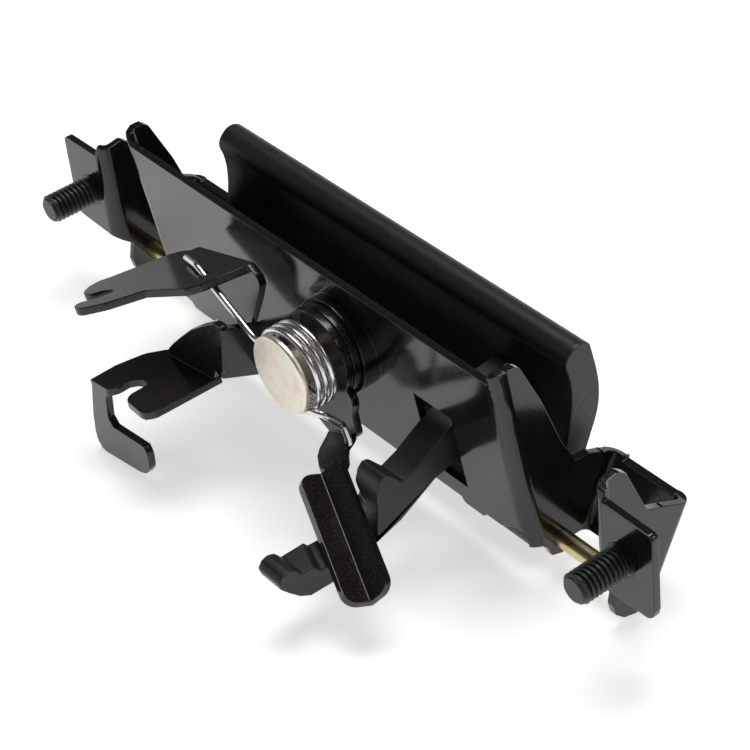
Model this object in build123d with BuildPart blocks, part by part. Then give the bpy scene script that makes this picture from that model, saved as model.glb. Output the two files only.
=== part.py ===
"""Tailgate handle: a folded sheet bracket with a moulded pull grip, two pressed levers on one
rivet, a torsion spring, a hinge rod and two fixing studs. Millimetres, +Z up.

Frame: the origin is midway between the two studs, on the seating face of the stud plates.
X runs along the hinge rod, the studs point towards -Y, and the grip is on the +Y side.
"""
import os
from math import atan, cos, degrees, pi, radians, sin, tan

from build123d import *

os.makedirs("parts", exist_ok=True)

# Sheet metal
SHEET = 1.6
BEND_OUTER = 3.0
BEND_INNER = BEND_OUTER - SHEET

# Bracket: a leaning front wall between two cheeks, a wing and a side wall on each end
WALL_LEAN = radians(8)
WALL_TOP = 24.5
WALL_TOP_Y = -4.3
GRIP_HALF = 50.4
CHEEK_PAST_GRIP = 4.1
WING_W = 17.0
STUD_PAST_SIDE = 6.95
PLATE_W = 14.7
ROD_PAST_SIDE = 3.5
CHEEK_X = GRIP_HALF + CHEEK_PAST_GRIP
SIDE_X = CHEEK_X + WING_W
PLATE_END_X = SIDE_X + PLATE_W
STUD_X = SIDE_X + STUD_PAST_SIDE
WING_BACK_Y = 21.9
WING_TOP_Z = -4.5
WING_SLOPE = 0.541
BRACKET_LOW = -24.0
BRACKET_HIGH = 28.0
WING_BOTTOM_Z = -16.7

# Window in the front wall for the grip's arm
WINDOW_X = (28.5, 38.5)
WINDOW_Z = (-9.0, 8.0)

# Hinge rod and the pivot of the levers
ROD_Y = 8.0
ROD_Z = -15.5
ROD_R = 1.75
ROD_HALF = SIDE_X + ROD_PAST_SIDE
PIVOT_X = 10.4
PIVOT_Z = 10.6
RUNNING_GAP = 0.05

# Pull grip, whose length is given with the bracket's
BARREL_R = 4.4
ARM_X = (30.3, 36.5)

# Travel of the pull and of the lever it lifts, degrees
PULL_MAX = 15.0
PULL_STEPS = 5
LEVER_RATIO = 1.3
PULL_AXIS = Axis((0, ROD_Y, ROD_Z), (-1, 0, 0))
LEVER_AXIS = Axis((PIVOT_X, 0, PIVOT_Z), (0, -1, 0))

# Studs, M6 x 1
STUD_R = 3.0
STUD_LENGTH = 10.5
STUD_CHAMFER = 0.6
RELIEF_R = 2.6
RELIEF_W = 0.4
KNURL_R = 3.3
STUD_HEAD_R = 4.2
STUD_HEAD_T = 0.5

# Rivet
RIVET_HEAD_R = 7.7
RIVET_FACE_Y = -17.5
RIVET_HEAD_T = 0.9
RIVET_EDGE_R = 0.5
RIVET_SHANK_R = 4.0
BOSS_FACE_Y = -5.7
BOSS_R = 9.5

# Levers: front faces of the two plates that turn on the rivet
LEVER_A_Y = -7.4
LEVER_B_Y = -9.1
HUB_R = 8.8
# The neck's own corner lies this far behind lever B's front face
NECK_BACK = 2.0

# Torsion spring
WIRE_R = 0.65
COIL_R = 7.7
COIL_TURNS = 3.0
COIL_BACK_Y = -10.9
COIL_FRONT_Y = -15.75


def wall_face_y(z):
    """Y of the front wall's outer face at height z."""
    return WALL_TOP_Y + tan(WALL_LEAN) * (WALL_TOP - z)


def wing_back_y(z):
    """Y of the wing's rear face at height z."""
    return WING_BACK_Y + WING_SLOPE * (z - WING_TOP_Z)


def unit(vector):
    return Vector(*vector).normalized()


def slab(plane, outline, thickness, round_r=0.0):
    """A flat plate: the closed outline, drawn on the plane, thickened along its normal."""
    with BuildPart() as blank:
        with BuildSketch(plane) as face:
            with BuildLine():
                Polyline(*outline, close=True)
            make_face()
            if round_r:
                fillet(face.vertices(), round_r)
        extrude(amount=thickness)
    return blank.part


# Bracket, one stamping
CHEEK_OUTLINE = [
    (-14, 25.6), (-4.6, 25.6), (-3.6, 26.6), (-2.0, 27.0), (0.0, 27.0), (1.2, 26.2), (5.4, 16.8),
    (9.2, 5.8), (12.1, -0.2), (15.2, -0.5), (18.3, -1.9), (10.3, -17.6), (8.0, -19.1),
    (5.6, -18.3), (4.6, -15.8), (3.4, -14.8), (-14, -14.8),
]
EAR_X = CHEEK_X - 2.3
FOLD_X = CHEEK_X - 1.5
PAST_X = CHEEK_X + 5.5
WALL_OUTLINE = [
    (-EAR_X, 40), (-EAR_X, WALL_TOP), (EAR_X, WALL_TOP), (EAR_X, 40), (PAST_X, 40),
    (PAST_X, -30), (FOLD_X, -30), (FOLD_X, -11.0), (CHEEK_X - 3.7, -11.0), (46.5, -13.4),
    (42.3, -13.4), (41.8, -14.5), (36.2, -14.5), (35.6, -13.2), (-39.6, -13.2),
    (-40.2, -14.5), (-46.8, -14.5), (-47.4, -13.2), (3.3 - CHEEK_X, -12.6), (-FOLD_X, -12.6),
    (-FOLD_X, -30), (-PAST_X, -30), (-PAST_X, 40),
]
SIDE_OUTLINE = [
    (-3, 10.0), (-0.2, 10.0), (0.8, 11.9), (5.2, 12.7), (7.0, 11.2), (11.1, 1.2), (11.6, 0.5),
    (18.2, -2.6), (10.3, -17.2), (12.4, -18.8), (10.6, -20.5), (8.0, -21.1), (5.2, -20.3),
    (3.3, -18.4), (2.8, -16.0), (3.7, -12.0), (2.0, -10.8), (0.0, -9.3), (-3, -9.3),
]


def build_channel():
    """Front wall and both cheeks, folded from one leaning channel."""
    low_y = wall_face_y(BRACKET_LOW)
    level_sheet = SHEET / cos(WALL_LEAN)
    depth = 60.0
    with BuildPart() as channel:
        with BuildSketch(Plane.XY.offset(BRACKET_LOW)) as plan:
            with Locations((0, low_y + depth / 2)):
                Rectangle(2 * CHEEK_X, depth)
            fillet(plan.vertices().group_by(Axis.Y)[0], BEND_OUTER)
            with Locations((0, low_y + level_sheet + depth / 2)):
                Rectangle(2 * (CHEEK_X - SHEET), depth, mode=Mode.SUBTRACT)
            fillet(plan.vertices().group_by(Axis.Y)[1], BEND_INNER)
        extrude(amount=(BRACKET_HIGH - BRACKET_LOW) / cos(WALL_LEAN), dir=(0, -tan(WALL_LEAN), 1))
        with BuildSketch(Plane.YZ.offset(-PAST_X)):
            with BuildLine():
                Polyline(*CHEEK_OUTLINE, close=True)
            make_face()
        extrude(amount=2 * PAST_X, mode=Mode.INTERSECT)
        with BuildSketch(Plane.XZ.offset(-40)):
            with BuildLine():
                Polyline(*WALL_OUTLINE, close=True)
            make_face()
        extrude(amount=80, mode=Mode.INTERSECT)
    return channel.part


def build_wing():
    """Rear of the right cheek, the tilted wing and the rear of the right side wall."""
    low, high = BRACKET_LOW, 8.0
    low_y = wing_back_y(low)
    leg = 9.0
    tilt = atan(WING_SLOPE)
    level_sheet = SHEET / cos(tilt)
    middle = (CHEEK_X + SIDE_X) / 2
    width = SIDE_X - CHEEK_X
    with BuildPart() as wing:
        with BuildSketch(Plane.XY.offset(low)) as plan:
            with Locations((middle, low_y - leg / 2)):
                Rectangle(width + 2 * SHEET, leg)
            fillet(plan.vertices().group_by(Axis.Y)[-1], BEND_OUTER)
            with Locations((middle, low_y - level_sheet - leg / 2)):
                Rectangle(width, leg, mode=Mode.SUBTRACT)
            fillet(plan.vertices().group_by(Axis.Y)[-2], BEND_INNER)
        extrude(amount=(high - low) / cos(tilt), dir=(0, WING_SLOPE, 1))
    bottom = WING_BOTTOM_Z
    cheek_zone = slab(Plane.YZ.offset(CHEEK_X - 4), [
        (3, bottom), (3, 3.6), (15.2, -0.5), (20, -2.7), (23, -4.0), (30, -4.0), (30, bottom),
    ], 6.5)
    wing_zone = slab(Plane.YZ.offset(CHEEK_X + 2.5), [
        (3, bottom), (3, -4.0), (30, -4.0), (30, bottom)], width - 4.5)
    side_zone = slab(Plane.YZ.offset(SIDE_X - 2), [
        (3, bottom), (3, 4.5), (11.6, 0.5), (21, -3.8), (30, -4.4), (30, bottom)], 6.0)
    keep = cheek_zone + wing_zone + side_zone
    with BuildPart() as trimmed:
        add(wing.part)
        add(keep, mode=Mode.INTERSECT)
    return trimmed.part


def build_side():
    """Right side wall with its stud plate."""
    depth = 26.0
    low, high = BRACKET_LOW, 16.0
    with BuildPart() as side:
        with BuildSketch(Plane.XY.offset(low)) as plan:
            with Locations(((SIDE_X + PLATE_END_X) / 2, depth / 2)):
                Rectangle(PLATE_END_X - SIDE_X, depth)
            fillet(plan.vertices().group_by(Axis.Y)[0].sort_by(Axis.X)[0], BEND_OUTER)
            with Locations((SIDE_X + SHEET + 15, SHEET + depth / 2)):
                Rectangle(30, depth, mode=Mode.SUBTRACT)
            fillet(plan.vertices().group_by(Axis.Y)[1].sort_by(Axis.X)[0], BEND_INNER)
        extrude(amount=high - low)
    wall_zone = slab(Plane.YZ.offset(SIDE_X - 1), SIDE_OUTLINE, SHEET + 2.4)
    plate_zone = slab(Plane.XZ.offset(-4), [
        (SIDE_X + 2.9, -9.3), (PLATE_END_X - 1.6, -9.0), (PLATE_END_X - 0.4, -8.2),
        (PLATE_END_X, -6.6), (PLATE_END_X, 9.7), (SIDE_X + 2.9, 10.0)], 8.0)
    with BuildPart() as trimmed:
        add(side.part)
        add(wall_zone + plate_zone, mode=Mode.INTERSECT)
    return trimmed.part


right_wing = build_wing()
right_side = build_side()
with BuildPart() as bracket:
    add(build_channel())
    add(right_wing)
    add(right_side)
    add(mirror(right_wing, about=Plane.YZ))
    add(mirror(right_side, about=Plane.YZ))
    # Pressed boss that gives the rivet a seat square to its axis
    with BuildSketch(Plane.XZ.offset(-BOSS_FACE_Y)):
        with Locations((PIVOT_X, PIVOT_Z)):
            Circle(BOSS_R)
    extrude(amount=-(wall_face_y(PIVOT_Z + BOSS_R) - BOSS_FACE_Y + 3.9))
    with BuildSketch(Plane.XZ.offset(-(BOSS_FACE_Y + SHEET))):
        with Locations((PIVOT_X, PIVOT_Z)):
            Circle(BOSS_R - SHEET)
    extrude(amount=-8, mode=Mode.SUBTRACT)
    with BuildSketch(Plane.XZ.offset(-10)):
        with Locations(((WINDOW_X[0] + WINDOW_X[1]) / 2, (WINDOW_Z[0] + WINDOW_Z[1]) / 2)):
            Rectangle(WINDOW_X[1] - WINDOW_X[0], WINDOW_Z[1] - WINDOW_Z[0])
        with Locations((PIVOT_X, PIVOT_Z)):
            Circle(RIVET_SHANK_R)
        with Locations((STUD_X, 0), (-STUD_X, 0)):
            Circle(KNURL_R)
    extrude(amount=20, mode=Mode.SUBTRACT)
    with BuildSketch(Plane.YZ.offset(-PLATE_END_X)):
        with Locations((ROD_Y, ROD_Z)):
            Circle(ROD_R)
    extrude(amount=2 * PLATE_END_X, mode=Mode.SUBTRACT)


# Hinge rod, chamfered at the ends
with BuildPart() as hinge_rod:
    with BuildSketch(Plane.YZ.offset(-ROD_HALF)):
        with Locations((ROD_Y, ROD_Z)):
            Circle(ROD_R)
    extrude(amount=2 * ROD_HALF)
    chamfer(hinge_rod.edges().filter_by(GeomType.CIRCLE), 0.4)


# Studs: shank to the thread's outside, thread relief, knurl in the plate and a flat head behind it
def build_stud(x):
    """One stud, turned about its own axis."""
    profile = [
        (0, -STUD_LENGTH), (STUD_R - STUD_CHAMFER, -STUD_LENGTH),
        (STUD_R, -STUD_LENGTH + STUD_CHAMFER), (STUD_R, -RELIEF_W), (RELIEF_R, -RELIEF_W),
        (RELIEF_R, 0), (KNURL_R, 0), (KNURL_R, SHEET), (STUD_HEAD_R, SHEET),
        (STUD_HEAD_R, SHEET + STUD_HEAD_T), (0, SHEET + STUD_HEAD_T),
    ]
    with BuildPart() as stud:
        with BuildSketch(Plane.XY):
            with BuildLine():
                Polyline(*[(x + r, y) for r, y in profile], close=True)
            make_face()
        revolve(axis=Axis((x, 0, 0), (0, 1, 0)))
    return stud.part


# Leaf of lever B: the line of its groove, and the neck that carries it
leaf_start = Vector(22.4, -19.3, -3.5)
leaf_dir = unit((23.6, -8.9, -8.8))
leaf_up = unit((0.222, -0.324, 0.921))
leaf_side = leaf_dir.cross(leaf_up) * -1
leaf_length = 27.0
leaf_plane = Plane(origin=leaf_start, x_dir=leaf_side, z_dir=leaf_dir)
neck_corner = Vector(10.1, LEVER_B_Y + NECK_BACK, -6.5)
neck_across = unit((6.4, 0, 3.2))
neck_plane = Plane(
    origin=neck_corner, x_dir=neck_across, z_dir=neck_across.cross(unit((11.4, -12.2, 1.9))) * -1)

with BuildPart() as leaf_space:
    with BuildSketch(leaf_plane):
        with BuildLine():
            Polyline(
                (-5.2, 12), (-5.2, 1.0), (-1.3, -2.3), (1.3, -2.3), (5.2, 0.6), (5.2, 12),
                close=True)
        make_face()
    extrude(amount=30)
leaf_room = leaf_space.part

# Pull grip: curved shell with a rolled lip, a barrel on the rod and the actuating arm
with BuildPart() as grip:
    with BuildSketch(Plane.YZ.offset(-GRIP_HALF)):
        with BuildLine():
            lower_out = (18.1, -4.4)
            upper_out = (20.4, 18.2)
            Spline(lower_out, (19.9, -0.3), (21.4, 3.4), (22.0, 8.0), (21.6, 12.4), upper_out)
            ThreePointArc(upper_out, (18.3, 19.6), (15.7, 18.7))
            ThreePointArc((15.7, 18.7), (14.5, 16.9), (14.8, 14.9))
            Spline((14.8, 14.9), (15.4, 10.4), (14.9, 5.6), (13.6, -0.1))
            Line((13.6, -0.1), (10.2, -9.0))
            Line((10.2, -9.0), (5.2, -12.3))
            Line((5.2, -12.3), (11.8, -17.6))
            Line((11.8, -17.6), (16.0, -9.0))
            Line((16.0, -9.0), lower_out)
        make_face()
        with Locations((ROD_Y, ROD_Z)):
            Circle(BARREL_R)
    extrude(amount=2 * GRIP_HALF)
    # Arm, reaching through the window to the right-hand lever
    with BuildSketch(Plane.YZ.offset(ARM_X[0])):
        with BuildLine():
            Polyline(
                (-39.9, -7.6), (-39.0, -6.3), (-37.6, -5.9), (-36.2, -6.4), (-35.0, -8.0),
                (-26.2, -7.9), (-25.4, -11.2), (-18.6, -10.6), (-17.9, -4.0), (-17.7, -1.0),
                (-17.0, 1.1), (-15.9, 2.2), (-14.6, 1.9), (-11.9, -1.3), (-8.5, 0.0),
                (-2.9, 3.3), (6.0, 7.2), (16.5, 8.0), (15.5, -6.0), (8.0, -8.0), (-1.0, -4.2),
                (-4.8, -5.1), (-13.0, -9.6), (-28.2, -14.2), (-33.7, -14.1), (-35.9, -12.9),
                (-37.9, -10.9), (-39.4, -9.2), close=True)
        make_face()
    extrude(amount=ARM_X[1] - ARM_X[0])
    # Saddle across the arm: room for the leaf in every position of the pull
    for step in range(PULL_STEPS + 1):
        pull = PULL_MAX * step / PULL_STEPS
        add(leaf_room.rotate(LEVER_AXIS, pull * LEVER_RATIO).rotate(PULL_AXIS, -pull),
            mode=Mode.SUBTRACT)
    with BuildSketch(Plane.YZ.offset(-GRIP_HALF - 1)):
        with Locations((ROD_Y, ROD_Z)):
            Circle(ROD_R + RUNNING_GAP)
    extrude(amount=2 * GRIP_HALF + 2, mode=Mode.SUBTRACT)


# Rivet: round-edged head, shank and a flattened tail inside the bracket
tail_y = BOSS_FACE_Y + SHEET
head_back_y = RIVET_FACE_Y + RIVET_HEAD_T
with BuildPart() as pivot_rivet:
    with BuildSketch(Plane.XY.offset(PIVOT_Z)):
        with BuildLine():
            rim_x = PIVOT_X + RIVET_HEAD_R
            shank_x = PIVOT_X + RIVET_SHANK_R
            arc_x = rim_x - RIVET_EDGE_R * (1 - sin(pi / 4))
            arc_y = RIVET_FACE_Y + RIVET_EDGE_R * (1 - cos(pi / 4))
            Line((PIVOT_X, RIVET_FACE_Y), (rim_x - RIVET_EDGE_R, RIVET_FACE_Y))
            ThreePointArc(
                (rim_x - RIVET_EDGE_R, RIVET_FACE_Y), (arc_x, arc_y), (rim_x, RIVET_FACE_Y + RIVET_EDGE_R))
            Polyline(
                (rim_x, RIVET_FACE_Y + RIVET_EDGE_R), (rim_x, head_back_y),
                (shank_x - RUNNING_GAP, head_back_y), (shank_x - RUNNING_GAP, BOSS_FACE_Y),
                (shank_x, BOSS_FACE_Y), (shank_x, tail_y), (shank_x + 1.8, tail_y),
                (shank_x + 1.2, tail_y + 1.2), (PIVOT_X, tail_y + 1.2), (PIVOT_X, RIVET_FACE_Y))
        make_face()
    revolve(axis=Axis((PIVOT_X, 0, PIVOT_Z), (0, 1, 0)))


# Route of the torsion spring: close coil round the rivet, one end through the shelf, the other
# round the edge of lever B's neck
def coil_point(angle, y):
    """Point on the coil's centre line at the angle from +X towards +Z."""
    return Vector(PIVOT_X + COIL_R * cos(angle), y, PIVOT_Z + COIL_R * sin(angle))


def coil_tangent(angle):
    """Direction of the wire at that angle, for growing angle and falling Y."""
    return unit((-sin(angle), -COIL_PITCH / (2 * pi * COIL_R), cos(angle)))


BACK_ANGLE = radians(248)
FRONT_ANGLE = radians(298.8)
COIL_PITCH = (COIL_BACK_Y - COIL_FRONT_Y) / (COIL_TURNS + (FRONT_ANGLE - BACK_ANGLE) / (2 * pi))
coil_start = coil_point(BACK_ANGLE, COIL_BACK_Y)
coil_end = coil_point(FRONT_ANGLE, COIL_FRONT_Y)
rise_start = Vector(-1.6, -13.9, 10.4)
rise_end = Vector(-19.5, -12.8, 16.95)
upper_route = [
    Vector(-25.4, -11.3, 15.1), rise_end, rise_start,
    coil_start - coil_tangent(BACK_ANGLE) * 7.5, coil_start]
lower_route = [
    coil_end, coil_end + coil_tangent(FRONT_ANGLE) * 5.2, Vector(20.3, -12.0, 1.9),
    Vector(20.0, -11.1, -1.6), Vector(19.6, -10.8, -3.4)]


# Lever A: hub behind lever B, a plate rising to a forward shelf with two fingers
A_TILT = radians(17)
SHELF_W = 20.9
shelf_plane = Plane(
    origin=(-sin(A_TILT) * SHELF_W, 0, cos(A_TILT) * SHELF_W),
    x_dir=(cos(A_TILT), 0, sin(A_TILT)), z_dir=(-sin(A_TILT), 0, cos(A_TILT)))
SHELF_OUTLINE = [
    (-24.8, LEVER_A_Y + SHEET), (-24.8, LEVER_A_Y), (-26.6, -8.4), (-28.0, -10.2), (-28.8, -12.4),
    (-31.6, -21.6), (-32.6, -24.1), (-32.4, -26.4), (-31.3, -28.2), (-28.8, -29.4),
    (-27.2, -26.4), (-25.4, -25.2), (-24.2, -25.6), (-25.2, -28.6), (-28.2, -32.2),
    (-25.0, -33.6), (-21.1, -29.3), (-17.6, -22.6), (-11.3, -19.6), (-9.0, -18.6),
    (-7.6, -16.2), (-5.9, -9.6), (-5.2, LEVER_A_Y), (-5.2, LEVER_A_Y + SHEET),
]


def below_shelf(along, drop):
    """X and Z of a point that far along the shelf and below its top face."""
    height = SHELF_W - drop
    return (
        cos(A_TILT) * along - sin(A_TILT) * height, cos(A_TILT) * height + sin(A_TILT) * along)


with BuildPart() as lever_a:
    with BuildSketch(Plane.XZ.offset(-LEVER_A_Y)):
        with Locations((PIVOT_X, PIVOT_Z)):
            Circle(HUB_R)
        with BuildLine():
            Polyline(
                (PIVOT_X - 4, PIVOT_Z - 7.8), (-13.2, 3.2), (-9.2, 11.5),
                below_shelf(-2.0, 2.9), below_shelf(-5.1, 0), below_shelf(-24.6, 0.1),
                (-27.6, 10.0), (-17.0, -1.2), (-4, -3.0),
                (PIVOT_X, PIVOT_Z - HUB_R), close=True)
        make_face()
    extrude(amount=-SHEET)
    add(slab(shelf_plane, SHELF_OUTLINE, -SHEET))
    with BuildSketch(Plane.XZ.offset(20)):
        with Locations((PIVOT_X, PIVOT_Z)):
            Circle(RIVET_SHANK_R + RUNNING_GAP)
    extrude(amount=-20, mode=Mode.SUBTRACT)
    # Hole for the spring's upper end, drilled along the wire
    with BuildSketch(Plane(origin=rise_start, z_dir=rise_end - rise_start)):
        Circle(WIRE_R + 0.4)
    extrude(amount=(rise_end - rise_start).length + 4, mode=Mode.SUBTRACT)


# Lever B: hub, hook arm on the left and grooved leaf on the right
HOOK_TILT = radians(9)
HOOK_WEB_Y = -18.5
HOOK_FACE_Y = -33.0
hook_floor = Plane(
    origin=(-15.1, 0, -2.0), x_dir=(cos(HOOK_TILT), 0, sin(HOOK_TILT)),
    z_dir=(-sin(HOOK_TILT), 0, cos(HOOK_TILT)))


def floor_point(x, y):
    """Point of the hook's floor, given by its X and Y."""
    return ((x + 15.1) / cos(HOOK_TILT), y)


with BuildPart() as lever_b:
    with BuildSketch(Plane.XZ.offset(-LEVER_B_Y)):
        with Locations((PIVOT_X, PIVOT_Z)):
            Circle(HUB_R)
        with BuildLine():
            Polyline(
                (-8.6, 7.6), (4, 16.0), (17.8, 7.1), (19.3, 6.2), (19.9, 4.2), (19.2, 1.5),
                (20.0, -3.2), (12.2, -7.1), (6.0, -3.9), (-9.4, -4.8), close=True)
        make_face()
    extrude(amount=-SHEET)
    # Web of the hook arm: forward flange, then a plate facing forward
    add(slab(Plane(origin=(-9.6, 0, -1.0), x_dir=(0, 1, 0), z_dir=(0.978, 0, -0.208)), [
        (LEVER_B_Y + SHEET, 9.0), (HOOK_WEB_Y, 14.6), (HOOK_WEB_Y, 1.6), (LEVER_B_Y + SHEET, -4.0),
    ], SHEET))
    add(slab(Plane.XZ.offset(-HOOK_WEB_Y), [
        (-5.2, 13.4), (-7.6, 13.2), (-12.2, 10.1), (-16.1, 7.2), (-20.2, 3.3), (-23.2, 0.3),
        (-25.8, -2.6), (-25.8, -4.8), (-11.0, -2.4), (-9.4, 1.2), (-7.0, 2.0)], -SHEET))
    add(slab(hook_floor, [
        floor_point(-27.0, HOOK_WEB_Y + SHEET), floor_point(-30.0, -21.0),
        floor_point(-30.7, -24.1), floor_point(-31.3, -27.1), floor_point(-31.1, HOOK_FACE_Y),
        floor_point(-24.6, HOOK_FACE_Y), floor_point(-23.9, -30.8), floor_point(-24.1, -28.8),
        floor_point(-23.2, -27.6), floor_point(-21.8, -26.8), floor_point(-20.0, -26.8),
        floor_point(-19.8, -32.8), floor_point(-12.6, -33.6), floor_point(-10.6, -32.6),
        floor_point(-10.4, HOOK_WEB_Y + SHEET)], -SHEET))
    add(slab(Plane.XZ.offset(-HOOK_FACE_Y), [
        (-30.6, -4.6), (-31.9, -10.0), (-32.8, -14.2), (-33.2, -18.2), (-32.9, -21.0),
        (-30.9, -22.0), (-18.4, -19.8), (-16.2, -19.0), (-14.4, -16.6), (-14.2, -12.6),
        (-15.3, -11.7), (-25.6, -13.0), (-26.9, -11.5), (-26.3, -6.8), (-24.9, -3.8)], -SHEET))
    # Neck: bent forward from the hub's lower edge, along the leaf's own direction
    add(slab(neck_plane, [
        (0.5, -1.3), (1.4, -3.5), (2.9, -6.3), (4.7, -8.3), (7.8, -10.3), (10.5, -11.9),
        (14.6, -12.6), (16.2, -10.6), (14.4, -8.0), (11.6, -6.0), (10.0, -4.6), (9.7, -3.0),
        (8.4, -1.4)], -SHEET))
    with BuildSketch(leaf_plane):
        with BuildLine():
            half_open = radians(58)
            flange = 4.6
            across, rise = sin(half_open), cos(half_open)
            drop = SHEET / across
            Polyline(
                (0, 0), (flange * across, flange * rise),
                (flange * across + SHEET * rise, flange * rise - SHEET * across), (0, -drop),
                (-flange * across - SHEET * rise, flange * rise - SHEET * across),
                (-flange * across, flange * rise), close=True)
        make_face()
    extrude(amount=leaf_length)
    with BuildSketch(Plane.XZ.offset(20)):
        with Locations((PIVOT_X, PIVOT_Z)):
            Circle(RIVET_SHANK_R + RUNNING_GAP)
    extrude(amount=-20, mode=Mode.SUBTRACT)


# Torsion spring, one wire
with BuildPart() as torsion_spring:
    with BuildLine() as wire_line:
        FilletPolyline(*upper_route, radius=2.0)
        coil = Helix(
            pitch=COIL_PITCH, height=COIL_BACK_Y - COIL_FRONT_Y, radius=COIL_R,
            center=(PIVOT_X, COIL_BACK_Y, PIVOT_Z), direction=(0, -1, 0), mode=Mode.PRIVATE)
        add(coil.rotate(Axis((PIVOT_X, 0, PIVOT_Z), (0, 1, 0)), 270 - degrees(BACK_ANGLE)))
        FilletPolyline(*lower_route, radius=2.4)
    with BuildSketch(Plane(origin=wire_line.wire() @ 0, z_dir=wire_line.wire() % 0)):
        Circle(WIRE_R)
    sweep(path=wire_line.wire())


for name, piece in (
        ("bracket", bracket.part), ("hinge_rod", hinge_rod.part), ("grip", grip.part),
        ("pivot_rivet", pivot_rivet.part), ("stud_left", build_stud(-STUD_X)),
        ("stud_right", build_stud(STUD_X)), ("lever_a", lever_a.part),
        ("lever_b", lever_b.part), ("torsion_spring", torsion_spring.part)):
    piece.label = name
    export_step(piece, f"parts/{name}.step")
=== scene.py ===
"""Looks of the tailgate handle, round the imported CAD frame. Metres, +Z up."""
import math

import bmesh
import bpy
from mathutils import Matrix, Vector


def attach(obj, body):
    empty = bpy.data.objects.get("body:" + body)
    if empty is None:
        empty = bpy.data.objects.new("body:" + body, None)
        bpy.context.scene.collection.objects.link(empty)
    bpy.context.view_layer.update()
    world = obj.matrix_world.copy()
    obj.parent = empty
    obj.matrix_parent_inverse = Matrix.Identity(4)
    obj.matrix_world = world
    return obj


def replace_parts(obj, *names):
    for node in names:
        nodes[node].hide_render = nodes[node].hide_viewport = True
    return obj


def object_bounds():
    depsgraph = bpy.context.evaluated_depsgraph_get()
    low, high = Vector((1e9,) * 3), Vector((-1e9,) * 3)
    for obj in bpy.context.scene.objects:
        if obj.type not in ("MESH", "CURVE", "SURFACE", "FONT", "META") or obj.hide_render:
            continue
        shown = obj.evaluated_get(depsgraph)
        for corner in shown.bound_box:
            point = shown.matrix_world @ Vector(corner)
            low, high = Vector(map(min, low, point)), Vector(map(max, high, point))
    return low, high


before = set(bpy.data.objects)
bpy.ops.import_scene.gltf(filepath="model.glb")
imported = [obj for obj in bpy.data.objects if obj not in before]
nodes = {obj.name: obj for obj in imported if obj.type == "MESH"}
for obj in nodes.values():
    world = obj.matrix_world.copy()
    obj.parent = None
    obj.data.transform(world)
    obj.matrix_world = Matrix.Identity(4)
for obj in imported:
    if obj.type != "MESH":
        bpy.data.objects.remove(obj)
cad_box = [list(corner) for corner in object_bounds()]

MM = 0.001


def add_object(name, data):
    """A new object, linked to the scene."""
    made = bpy.data.objects.new(name, data)
    bpy.context.scene.collection.objects.link(made)
    return made


def add_mesh(name, mesh, finish):
    """A new object from a finished bmesh, in one material."""
    data = bpy.data.meshes.new(name)
    mesh.to_mesh(data)
    mesh.free()
    data.materials.append(finish)
    return add_object(name, data)


# Camera at the photograph's viewing angle
CAMERA_AZIMUTH = math.radians(-34.86)
CAMERA_ELEVATION = math.radians(37.98)
CAMERA_ROLL = math.radians(-6.6)
CAMERA_LENS = 119.0
CAMERA_SENSOR = 36.0
CAMERA_NEAR = 0.01
CAMERA_FAR = 50.0
# Where the frame's origin lies in the camera's own axes
ORIGIN_RIGHT = -8.89 * MM
ORIGIN_DOWN = -3.84 * MM
ORIGIN_AHEAD = 457.03 * MM


def make_camera():
    az, el, roll = CAMERA_AZIMUTH, CAMERA_ELEVATION, CAMERA_ROLL
    back = Vector((math.cos(el) * math.cos(az), math.cos(el) * math.sin(az), math.sin(el)))
    level = Vector((-math.sin(az), math.cos(az), 0.0))
    upright = back.cross(level)
    right = math.cos(roll) * level + math.sin(roll) * upright
    up = -math.sin(roll) * level + math.cos(roll) * upright
    data = bpy.data.cameras.new("photo_camera")
    data.sensor_width = CAMERA_SENSOR
    data.lens = CAMERA_LENS
    data.clip_start = CAMERA_NEAR
    data.clip_end = CAMERA_FAR
    camera = add_object("photo_camera", data)
    pose = Matrix((right, up, back)).transposed().to_4x4()
    pose.translation = -ORIGIN_RIGHT * right + ORIGIN_DOWN * up + ORIGIN_AHEAD * back
    camera.matrix_world = pose
    bpy.context.scene.camera = camera


make_camera()
bpy.context.scene.view_settings.view_transform = "Standard"


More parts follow.
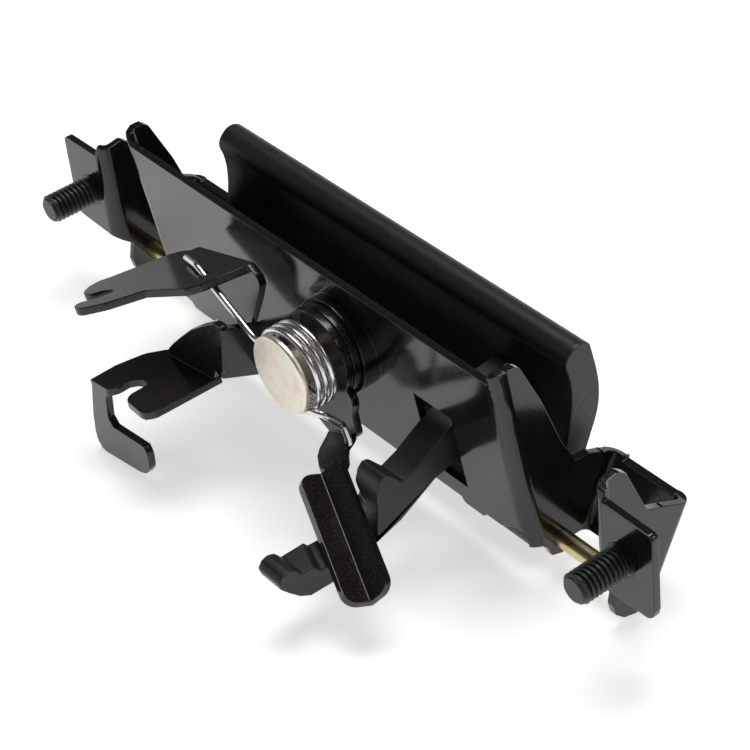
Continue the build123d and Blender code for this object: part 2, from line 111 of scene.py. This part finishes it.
class Tree:
    """A material's or the world's node tree, with the few moves that the looks need."""

    def __init__(self, owner):
        owner.use_nodes = True
        self.nodes = owner.node_tree.nodes
        self.links = owner.node_tree.links

    def add(self, kind, **inputs):
        """A new node. Its inputs are given by name, with _ for a space."""
        node = self.nodes.new("ShaderNode" + kind)
        for name, value in inputs.items():
            self.put(node, name.replace("_", " "), value)
        return node

    def put(self, node, key, value):
        """Links the input to a socket, or sets it to a plain value."""
        socket = node.inputs[key]
        if isinstance(value, bpy.types.NodeSocket):
            self.links.new(value, socket)
        else:
            socket.default_value = value

    def combine(self, operation, first, second):
        node = self.add("Math")
        node.operation = operation
        self.put(node, 0, first)
        self.put(node, 1, second)
        return node.outputs["Value"]

    def coords(self, stretch=None):
        point = self.add("TexCoord").outputs["Object"]
        if stretch is None:
            return point
        return self.add("Mapping", Vector=point, Scale=stretch).outputs["Vector"]

    def noise(self, scale, detail=2.0, stretch=None):
        """Noise with that many waves a metre."""
        node = self.add("TexNoise", Vector=self.coords(stretch), Scale=scale, Detail=detail)
        return node.outputs["Fac"]

    def spread(self, value, low, high):
        """Noise, whose values lie mostly from 0.35 to 0.65, as a number from low to high."""
        node = self.add(
            "MapRange", Value=value, From_Min=0.35, From_Max=0.65, To_Min=low, To_Max=high)
        return node.outputs["Result"]

    def ramp(self, value, stops):
        """The value as a colour, from stops of position and colour."""
        node = self.add("ValToRGB", Fac=value)
        elements = node.color_ramp.elements
        for place, (position, colour) in enumerate(stops):
            # A new ramp has two stops already
            element = elements[place] if place < 2 else elements.new(position)
            element.position = position
            element.color = (*colour, 1.0)
        return node.outputs["Color"]

    def bump(self, height, strength, distance):
        node = self.add("Bump", Height=height, Strength=strength, Distance=distance)
        return node.outputs["Normal"]


# Materials
GRAIN_DEPTH = 0.02 * MM
STUD_GRAIN_DEPTH = 0.015 * MM
PAINT_IOR = 1.52


def material(name):
    made = bpy.data.materials.new(name)
    tree = Tree(made)
    return made, tree, tree.nodes["Principled BSDF"]


def paint(name, brown, rough, peel):
    """Gloss black paint with fine orange peel and brownish specks."""
    made, tree, shader = material(name)
    tree.put(shader, "Base Color", tree.ramp(tree.noise(2600.0, 3.0), [
        (0.0, (0.008, 0.0075, 0.0075)), (0.52, (0.011, 0.0095, 0.009)), (0.7, brown)]))
    tree.put(shader, "Roughness", tree.spread(tree.noise(2300.0), *rough))
    tree.put(shader, "IOR", PAINT_IOR)
    tree.put(shader, "Normal", tree.bump(tree.noise(2100.0, 4.0), peel, GRAIN_DEPTH))
    return made


def moulded_plastic(name):
    """Satin black plastic with a fine grain."""
    made, tree, shader = material(name)
    tree.put(shader, "Base Color", tree.ramp(tree.noise(900.0, 3.0), [
        (0.3, (0.013, 0.013, 0.014)), (0.7, (0.022, 0.021, 0.021))]))
    tree.put(shader, "Roughness", tree.spread(tree.noise(1500.0, 4.0), 0.36, 0.5))
    tree.put(shader, "Normal", tree.bump(tree.noise(3800.0, 3.0), 0.35, GRAIN_DEPTH))
    return made


def black_plate(name):
    """Dull black plating, as on the studs."""
    made, tree, shader = material(name)
    tree.put(shader, "Base Color", tree.ramp(tree.noise(1500.0, 3.0), [
        (0.35, (0.01, 0.01, 0.01)), (0.7, (0.026, 0.024, 0.023))]))
    tree.put(shader, "Roughness", tree.spread(tree.noise(1800.0), 0.3, 0.48))
    tree.put(shader, "Normal", tree.bump(tree.noise(4000.0, 3.0), 0.3, STUD_GRAIN_DEPTH))
    return made


def bright_plate(name, stops, patches, rough, scratches, depth, stretch=None):
    """Metal with a patchy plated colour and fine scratches."""
    made, tree, shader = material(name)
    tree.put(shader, "Metallic", 1.0)
    tree.put(shader, "Base Color", tree.ramp(tree.noise(patches, 4.0), stops))
    tree.put(shader, "Roughness", tree.spread(tree.noise(scratches, 3.0, stretch), *rough))
    tree.put(shader, "Normal", tree.bump(
        tree.noise(scratches, 5.0, stretch), depth, GRAIN_DEPTH))
    return made


bracket_paint = paint("bracket_paint", brown=(0.024, 0.02, 0.018), rough=(0.1, 0.17), peel=0.16)
lever_paint = paint("lever_paint", brown=(0.042, 0.03, 0.025), rough=(0.14, 0.24), peel=0.3)
grip_plastic = moulded_plastic("grip_plastic")
stud_black = black_plate("stud_black")
# Yellow zinc, scratched along the rod
rod_zinc = bright_plate(
    "rod_zinc", [(0.3, (0.62, 0.47, 0.2)), (0.55, (0.8, 0.68, 0.4)), (0.75, (0.7, 0.62, 0.42))],
    patches=260.0, rough=(0.24, 0.4), scratches=1200.0, depth=0.3, stretch=(0.15, 1.0, 1.0))
# Zinc with a faint green and pink cast
rivet_zinc = bright_plate(
    "rivet_zinc", [
        (0.3, (0.72, 0.76, 0.6)), (0.45, (0.86, 0.82, 0.7)), (0.58, (0.84, 0.74, 0.66)),
        (0.75, (0.8, 0.66, 0.62))],
    patches=420.0, rough=(0.34, 0.5), scratches=2400.0, depth=0.4)
spring_wire = bright_plate(
    "spring_wire", [(0.3, (0.7, 0.69, 0.67)), (0.7, (0.82, 0.81, 0.79))],
    patches=500.0, rough=(0.2, 0.3), scratches=2500.0, depth=0.03)

# CAD nodes that are shown as they are
for node, finish in (
        ("hinge_rod", rod_zinc), ("pivot_rivet", rivet_zinc), ("torsion_spring", spring_wire)):
    nodes[node].data.materials.clear()
    nodes[node].data.materials.append(finish)


# Sheet-metal and moulded pieces with the rounded corners and broken edges of the real ones
SHEET = 1.6 * MM
SHEET_SLACK = 0.06 * MM
WELD = 0.002 * MM
# Faces that turn by less than this are one flat
FLAT = math.radians(1.0)
# Least turn of an outline's corner, and of an edge that is broken
CORNER = math.radians(14)
SHARP = math.radians(30)
# A sharper corner than this, in radians, is cut back no further
WIDEST_TURN = 1.6
CORNER_SEGMENTS = 5
EDGE_SEGMENTS = 2
ROUND_PROFILE = 0.5


def merge_flats(mesh):
    """Joins the facets that lie in one flat."""
    bmesh.ops.dissolve_limit(
        mesh, angle_limit=FLAT, use_dissolve_boundaries=False, verts=mesh.verts,
        edges=mesh.edges)


def round_corners(mesh, radius):
    """Rounds a sheet's outward corners: the short edges that run through its thickness."""
    corners = [
        edge for edge in mesh.edges
        if edge.is_manifold and abs(edge.calc_length() - SHEET) < SHEET_SLACK
        and edge.is_convex and edge.calc_face_angle() > CORNER]
    for edge in corners:
        # A neighbour's bevel may have used the edge up
        if not edge.is_valid:
            continue
        reach = radius * math.tan(min(edge.calc_face_angle(), WIDEST_TURN) / 2)
        bmesh.ops.bevel(
            mesh, geom=[edge], offset=reach, offset_type="OFFSET", segments=CORNER_SEGMENTS,
            profile=ROUND_PROFILE, affect="EDGES", clamp_overlap=True)


def break_edges(mesh, width):
    """Takes the sharpness off every sharp edge."""
    edges = [edge for edge in mesh.edges if edge.is_manifold and edge.calc_face_angle() > SHARP]
    bmesh.ops.bevel(
        mesh, geom=edges, offset=width, offset_type="OFFSET", segments=EDGE_SEGMENTS,
        profile=ROUND_PROFILE, affect="EDGES", clamp_overlap=False)


def shade(mesh, crease):
    """Smooth faces, with a crease where they turn by more than that angle."""
    for face in mesh.faces:
        face.smooth = True
    for edge in mesh.edges:
        edge.smooth = not (edge.is_manifold and edge.calc_face_angle() > crease)


def dress(node, body, finish, edge_width, corner_radius=0.0):
    """A finished copy of a CAD node, which then stands for it."""
    mesh = bmesh.new()
    mesh.from_mesh(nodes[node].data)
    bmesh.ops.remove_doubles(mesh, verts=mesh.verts, dist=WELD)
    merge_flats(mesh)
    if corner_radius:
        round_corners(mesh, corner_radius)
    merge_flats(mesh)
    break_edges(mesh, edge_width)
    shade(mesh, SHARP)
    piece = add_mesh(node + "_finished", mesh, finish)
    normals = piece.modifiers.new("normals", "WEIGHTED_NORMAL")
    normals.keep_sharp = True
    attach(piece, body)
    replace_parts(piece, node)


dress("bracket", "frame", bracket_paint, edge_width=0.2 * MM, corner_radius=1.2 * MM)
dress("lever_a", "shelf_lever", lever_paint, edge_width=0.2 * MM, corner_radius=2.2 * MM)
dress("lever_b", "hook_lever", lever_paint, edge_width=0.2 * MM, corner_radius=2.6 * MM)
dress("grip", "pull", grip_plastic, edge_width=0.4 * MM)


# Studs with their M6 x 1 threads
STUD_X = 78.45 * MM
TIP_Y = -10.5 * MM
# The tip's flat face, and the cone that cuts the first threads down
TIP_FACE_R = 2.1 * MM
TIP_CONE_R = 2.3 * MM
TIP_CONE_SLOPE = 1.1
PITCH = 1.0 * MM
CREST_R = 3.0 * MM
ROOT_R = 2.42 * MM
# Shares of a flank's rise at which the root ends and the crest is reached
ROOT_SHARE = 0.2
CREST_SHARE = 0.82
RELIEF_Y = -0.4 * MM
RELIEF_R = 2.6 * MM
# Length over which the thread runs out into the relief
RUN_OUT = 0.5 * MM
PLATE_T = 1.6 * MM
KNURL_R = 3.3 * MM
HEAD_R = 4.2 * MM
HEAD_T = 0.5 * MM
HEAD_EDGE = 0.15 * MM
STUD_WELD = 0.001 * MM
STUD_CREASE = math.radians(40)
AROUND = 72
ROWS_PER_PITCH = 16

# Radius and Y of the plain part of the stud, from the relief to the head behind the plate
PLAIN = [
    (RELIEF_R, 0.0), (KNURL_R, 0.0), (KNURL_R, PLATE_T), (HEAD_R, PLATE_T),
    (HEAD_R, PLATE_T + HEAD_T - HEAD_EDGE), (HEAD_R - HEAD_EDGE, PLATE_T + HEAD_T),
    (0.0, PLATE_T + HEAD_T)]


def clamp_share(value):
    return min(1.0, max(0.0, value))


def thread_radius(y, turn):
    """Radius of the threaded part at that Y and that share of a turn."""
    phase = (y / PITCH + turn) % 1.0
    rise = 1.0 - abs(2.0 * phase - 1.0)
    share = clamp_share((rise - ROOT_SHARE) / (CREST_SHARE - ROOT_SHARE))
    share = share * share * (3.0 - 2.0 * share)
    radius = ROOT_R + (CREST_R - ROOT_R) * share
    fade = clamp_share((RELIEF_Y - y) / RUN_OUT)
    radius = RELIEF_R + (radius - RELIEF_R) * fade
    return min(radius, TIP_CONE_R + (y - TIP_Y) * TIP_CONE_SLOPE)


def stud_rows():
    """Rows of radius and Y, each once round the stud, from its tip to its head."""
    rows = [[(0.0, TIP_Y)] * AROUND, [(TIP_FACE_R, TIP_Y)] * AROUND]
    count = int((RELIEF_Y - TIP_Y) / PITCH * ROWS_PER_PITCH)
    for step in range(count + 1):
        y = TIP_Y + (RELIEF_Y - TIP_Y) * step / count
        rows.append([(thread_radius(y, side / AROUND), y) for side in range(AROUND)])
    for point in PLAIN:
        rows.append([point] * AROUND)
    return rows


def make_stud(name, x):
    mesh = bmesh.new()
    rings = []
    for row in stud_rows():
        ring = []
        for side, (radius, y) in enumerate(row):
            angle = 2 * math.pi * side / AROUND
            ring.append(mesh.verts.new((
                x + radius * math.cos(angle), y, radius * math.sin(angle))))
        rings.append(ring)
    for lower, upper in zip(rings, rings[1:]):
        for side in range(AROUND):
            after = (side + 1) % AROUND
            mesh.faces.new((lower[side], lower[after], upper[after], upper[side]))
    bmesh.ops.remove_doubles(mesh, verts=mesh.verts, dist=STUD_WELD)
    bmesh.ops.recalc_face_normals(mesh, faces=mesh.faces)
    shade(mesh, STUD_CREASE)
    stud = add_mesh(name, mesh, stud_black)
    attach(stud, "frame")
    return stud


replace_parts(make_stud("stud_left_thread", -STUD_X), "stud_left")
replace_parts(make_stud("stud_right_thread", STUD_X), "stud_right")


# Floor, just below the part, and world
FLOOR_GAP = 0.05 * MM
FLOOR_HALF = 6.0
FLOOR_GREY = 0.9
FLOOR_ROUGHNESS = 0.9
FLOOR_GLOW = 0.62
WHITE = (1.0, 1.0, 1.0, 1.0)


def background_ray(tree):
    """1 for the rays that see the background: camera, glossy and transmission."""
    path = tree.add("LightPath").outputs
    seen = tree.combine("MAXIMUM", path["Is Camera Ray"], path["Is Glossy Ray"])
    return tree.combine("MAXIMUM", seen, path["Is Transmission Ray"])


def make_floor():
    made, tree, shader = material("floor_white")
    tree.put(shader, "Base Color", (FLOOR_GREY, FLOOR_GREY, FLOOR_GREY, 1.0))
    tree.put(shader, "Roughness", FLOOR_ROUGHNESS)
    tree.put(shader, "Specular IOR Level", 0.0)
    tree.put(shader, "Emission Color", WHITE)
    tree.put(shader, "Emission Strength", tree.combine(
        "MULTIPLY", background_ray(tree), FLOOR_GLOW))
    height = cad_box[0][2] - FLOOR_GAP
    mesh = bmesh.new()
    mesh.faces.new([
        mesh.verts.new((side_x * FLOOR_HALF, side_y * FLOOR_HALF, height))
        for side_x, side_y in ((-1, -1), (1, -1), (1, 1), (-1, 1))])
    add_mesh("floor", mesh, made)


def make_world():
    """White to the camera; to the object white low down and dark overhead, as in a studio."""
    world = bpy.data.worlds.new("studio")
    bpy.context.scene.world = world
    tree = Tree(world)
    direction = tree.add("TexCoord").outputs["Generated"]
    height = tree.add("SeparateXYZ", Vector=direction).outputs["Z"]
    room = tree.ramp(height, [
        (0.0, (1.0, 1.0, 1.0)), (0.12, (0.5, 0.5, 0.5)), (0.3, (0.07, 0.07, 0.07)),
        (1.0, (0.05, 0.05, 0.05))])
    seen = tree.add("LightPath").outputs["Is Camera Ray"]
    mix = tree.add("MixRGB", Fac=seen, Color1=room, Color2=WHITE)
    background = tree.nodes["Background"]
    tree.put(background, "Color", mix.outputs["Color"])
    tree.put(background, "Strength", 1.0)


make_floor()
make_world()


def make_light(name, place, size, power):
    """A soft rectangular lamp aimed at the frame's origin."""
    data = bpy.data.lights.new(name, "AREA")
    data.shape = "RECTANGLE"
    data.size, data.size_y = size
    data.energy = power
    light = add_object(name, data)
    light.location = place
    light.rotation_mode = "QUATERNION"
    light.rotation_quaternion = (-Vector(place)).to_track_quat("-Z", "Y")


make_light("overhead", place=(-0.1, 0.15, 0.75), size=(0.55, 0.35), power=3.4)
make_light("right", place=(0.75, 0.45, 0.6), size=(0.4, 0.4), power=1.2)
